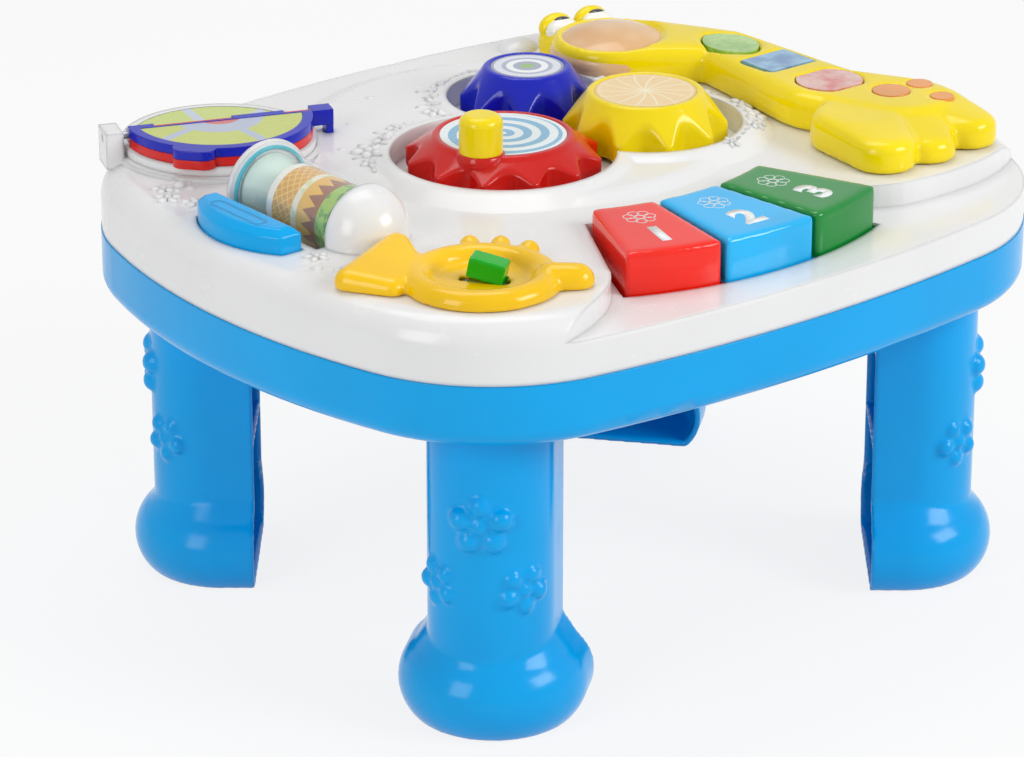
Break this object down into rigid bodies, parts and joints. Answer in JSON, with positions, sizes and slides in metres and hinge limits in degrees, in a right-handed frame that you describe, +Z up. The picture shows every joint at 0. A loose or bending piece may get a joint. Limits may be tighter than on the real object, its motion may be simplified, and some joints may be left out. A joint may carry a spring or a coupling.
{
  "type": "play table",
  "caption": "Child's play table: white deck on a blue skirt and four bulb-foot legs, with meshing gears, piano keys, drum roller, flip book, press bar, fish slider and giraffe lenses.",
  "frame": {"origin": "on the floor under the middle of the table top", "axes": "+X along the long side to the giraffe, +Y to the back away from the piano keys, +Z up"},
  "size_m": [0.3672, 0.3108, 0.216],
  "materials": {
    "deck": "smooth white moulding",
    "skirt": "smooth sky-blue moulding",
    "leg_front_left": "smooth sky-blue moulding with embossed flowers",
    "leg_front_right": "smooth sky-blue moulding with embossed flowers",
    "leg_back_left": "smooth sky-blue moulding with embossed flowers",
    "leg_back_right": "smooth sky-blue moulding with embossed flowers",
    "gear_red": "smooth red moulding",
    "gear_yellow": "smooth yellow moulding",
    "gear_blue": "smooth dark-blue moulding",
    "gear_red_print": "printed film, blue and white swirl",
    "gear_yellow_print": "printed film, orange swirl",
    "gear_blue_print": "printed film, pale rings with a green middle",
    "gear_screws": "plated steel",
    "crank_knob": "smooth yellow moulding",
    "key_red": "smooth red moulding with a pale print",
    "key_blue": "smooth light-blue moulding with a pale print",
    "key_green": "smooth green moulding with a pale print",
    "key_pins": "steel wire",
    "contact_pads": "soft silicone",
    "press_bar": "smooth light-blue moulding",
    "drum_tube": "clear moulding",
    "drum_label": "printed film",
    "drum_disc": "smooth white moulding",
    "drum_ring": "smooth turquoise moulding",
    "drum_cone": "smooth pale moulding",
    "drum_axle": "steel wire",
    "fish_body": "smooth yellow moulding",
    "fish_knob": "smooth green moulding",
    "book_base": "smooth white moulding",
    "book_base_card": "printed film",
    "page_red": "smooth red moulding",
    "page_red_card": "printed film",
    "page_blue": "smooth dark-blue moulding",
    "page_blue_card": "printed film",
    "book_pin": "steel wire",
    "book_clip": "smooth dark-blue moulding",
    "giraffe_body": "smooth yellow moulding",
    "giraffe_face": "printed film, peach and white",
    "lens_green": "translucent moulding",
    "lens_blue": "translucent moulding",
    "lens_red": "translucent moulding",
    "giraffe_spots": "printed orange pads",
    "giraffe_eyes": "smooth black",
    "circuit_board": "lacquered board",
    "light_diodes": "clear moulding",
    "speaker": "paper cone in a steel frame",
    "batteries": "film-wrapped cells",
    "battery_contacts": "plated spring steel",
    "battery_door": "smooth sky-blue moulding",
    "door_screws": "plated steel",
    "power_switch": "smooth orange moulding",
    "housing_screws": "plated steel"
  },
  "bodies": {
    "table": {"deck": "deck", "skirt": "skirt", "leg_front_left": "leg_front_left", "leg_front_right": "leg_front_right", "leg_back_left": "leg_back_left", "leg_back_right": "leg_back_right", "gear_screws": "gear_screws", "key_pins": "key_pins", "contact_pads": "contact_pads", "drum_axle": "drum_axle", "fish_body": "fish_body", "book_base": "book_base", "book_base_card": "book_base_card", "book_pin": "book_pin", "book_clip": "book_clip", "giraffe_body": "giraffe_body", "giraffe_face": "giraffe_face", "giraffe_spots": "giraffe_spots", "giraffe_eyes": "giraffe_eyes", "circuit_board": "circuit_board", "light_diodes": "light_diodes", "speaker": "speaker", "batteries": "batteries", "battery_contacts": "battery_contacts", "battery_door": "battery_door", "door_screws": "door_screws", "housing_screws": "housing_screws"},
    "red_gear": {"gear_red": "gear_red", "gear_red_print": "gear_red_print"},
    "crank": {"crank_knob": "crank_knob"},
    "yellow_gear": {"gear_yellow": "gear_yellow", "gear_yellow_print": "gear_yellow_print"},
    "blue_gear": {"gear_blue": "gear_blue", "gear_blue_print": "gear_blue_print"},
    "red_key": {"key_red": "key_red"},
    "blue_key": {"key_blue": "key_blue"},
    "green_key": {"key_green": "key_green"},
    "bar": {"press_bar": "press_bar"},
    "drum": {"drum_tube": "drum_tube", "drum_label": "drum_label", "drum_disc": "drum_disc", "drum_ring": "drum_ring", "drum_cone": "drum_cone"},
    "fish_slider": {"fish_knob": "fish_knob"},
    "lower_page": {"page_red": "page_red", "page_red_card": "page_red_card"},
    "upper_page": {"page_blue": "page_blue", "page_blue_card": "page_blue_card"},
    "green_lens": {"lens_green": "lens_green"},
    "blue_lens": {"lens_blue": "lens_blue"},
    "red_lens": {"lens_red": "lens_red"},
    "switch": {"power_switch": "power_switch"}
  },
  "joints": [
    {"name": "red_gear_spin", "type": "hinge", "parent": "table", "child": "red_gear", "pos_m": [-0.0238, 0.0114, 0.19], "axis": [0, 0, 1], "continuous": true},
    {"name": "crank_knob_spin", "type": "hinge", "parent": "red_gear", "child": "crank", "pos_m": [-0.0463, -0.0018, 0.205], "axis": [0, 0, 1], "continuous": true},
    {"name": "yellow_gear_spin", "type": "hinge", "parent": "table", "child": "yellow_gear", "pos_m": [0.04899, 0.00465, 0.19], "axis": [0, 0, 1], "continuous": true},
    {"name": "blue_gear_spin", "type": "hinge", "parent": "table", "child": "blue_gear", "pos_m": [0.03052, 0.06216, 0.19], "axis": [0, 0, 1], "continuous": true},
    {"name": "red_key_press", "type": "hinge", "parent": "table", "child": "red_key", "pos_m": [-0.03288, -0.08069, 0.171], "axis": [0.9536, -0.3011, 0], "range_deg": [0, 3.5], "stiffness_Nm_per_rad": 0.5, "springref_deg": -3.44},
    {"name": "blue_key_press", "type": "hinge", "parent": "table", "child": "blue_key", "pos_m": [-0.0012, -0.08605, 0.171], "axis": [0.9996, -0.0292, 0], "range_deg": [0, 3.5], "stiffness_Nm_per_rad": 0.5, "springref_deg": -3.44},
    {"name": "green_key_press", "type": "hinge", "parent": "table", "child": "green_key", "pos_m": [0.03137, -0.08239, 0.171], "axis": [0.9681, 0.2504, 0], "range_deg": [0, 3.5], "stiffness_Nm_per_rad": 0.5, "springref_deg": -3.44},
    {"name": "bar_press", "type": "slide", "parent": "table", "child": "bar", "axis": [0, 0, -1], "range_m": [0, 0.003], "stiffness_N_per_m": 300, "springref_m": -0.002},
    {"name": "drum_spin", "type": "hinge", "parent": "table", "child": "drum", "pos_m": [-0.125, 0.01, 0.19], "axis": [0, 1, 0], "continuous": true},
    {"name": "fish_slide", "type": "slide", "parent": "table", "child": "fish_slider", "axis": [0.6018, -0.7986, 0], "range_m": [-0.005, 0.004]},
    {"name": "upper_page_turn", "type": "hinge", "parent": "table", "child": "upper_page", "pos_m": [-0.1065, 0.101, 0.1962], "axis": [-0.932, 0.3624, 0], "range_deg": [0, 179]},
    {"name": "lower_page_turn", "type": "hinge", "parent": "table", "child": "lower_page", "pos_m": [-0.1065, 0.101, 0.1962], "axis": [-0.932, 0.3624, 0], "range_deg": [0, 179]},
    {"name": "green_lens_press", "type": "slide", "parent": "table", "child": "green_lens", "axis": [0, 0, -1], "range_m": [0, 0.002], "stiffness_N_per_m": 300, "springref_m": -0.0015},
    {"name": "blue_lens_press", "type": "slide", "parent": "table", "child": "blue_lens", "axis": [0, 0, -1], "range_m": [0, 0.002], "stiffness_N_per_m": 300, "springref_m": -0.0015},
    {"name": "red_lens_press", "type": "slide", "parent": "table", "child": "red_lens", "axis": [0, 0, -1], "range_m": [0, 0.002], "stiffness_N_per_m": 300, "springref_m": -0.0015},
    {"name": "power_switch_slide", "type": "slide", "parent": "table", "child": "switch", "axis": [1, 0, 0], "range_m": [0, 0.0045]}
  ],
  "couplings": [
    {"joint": "yellow_gear_spin", "follows": "red_gear_spin", "ratio": -1.2},
    {"joint": "blue_gear_spin", "follows": "red_gear_spin", "ratio": 1.5},
    {"joint": "lower_page_turn", "follows": "upper_page_turn", "ratio": 1}
  ]
}
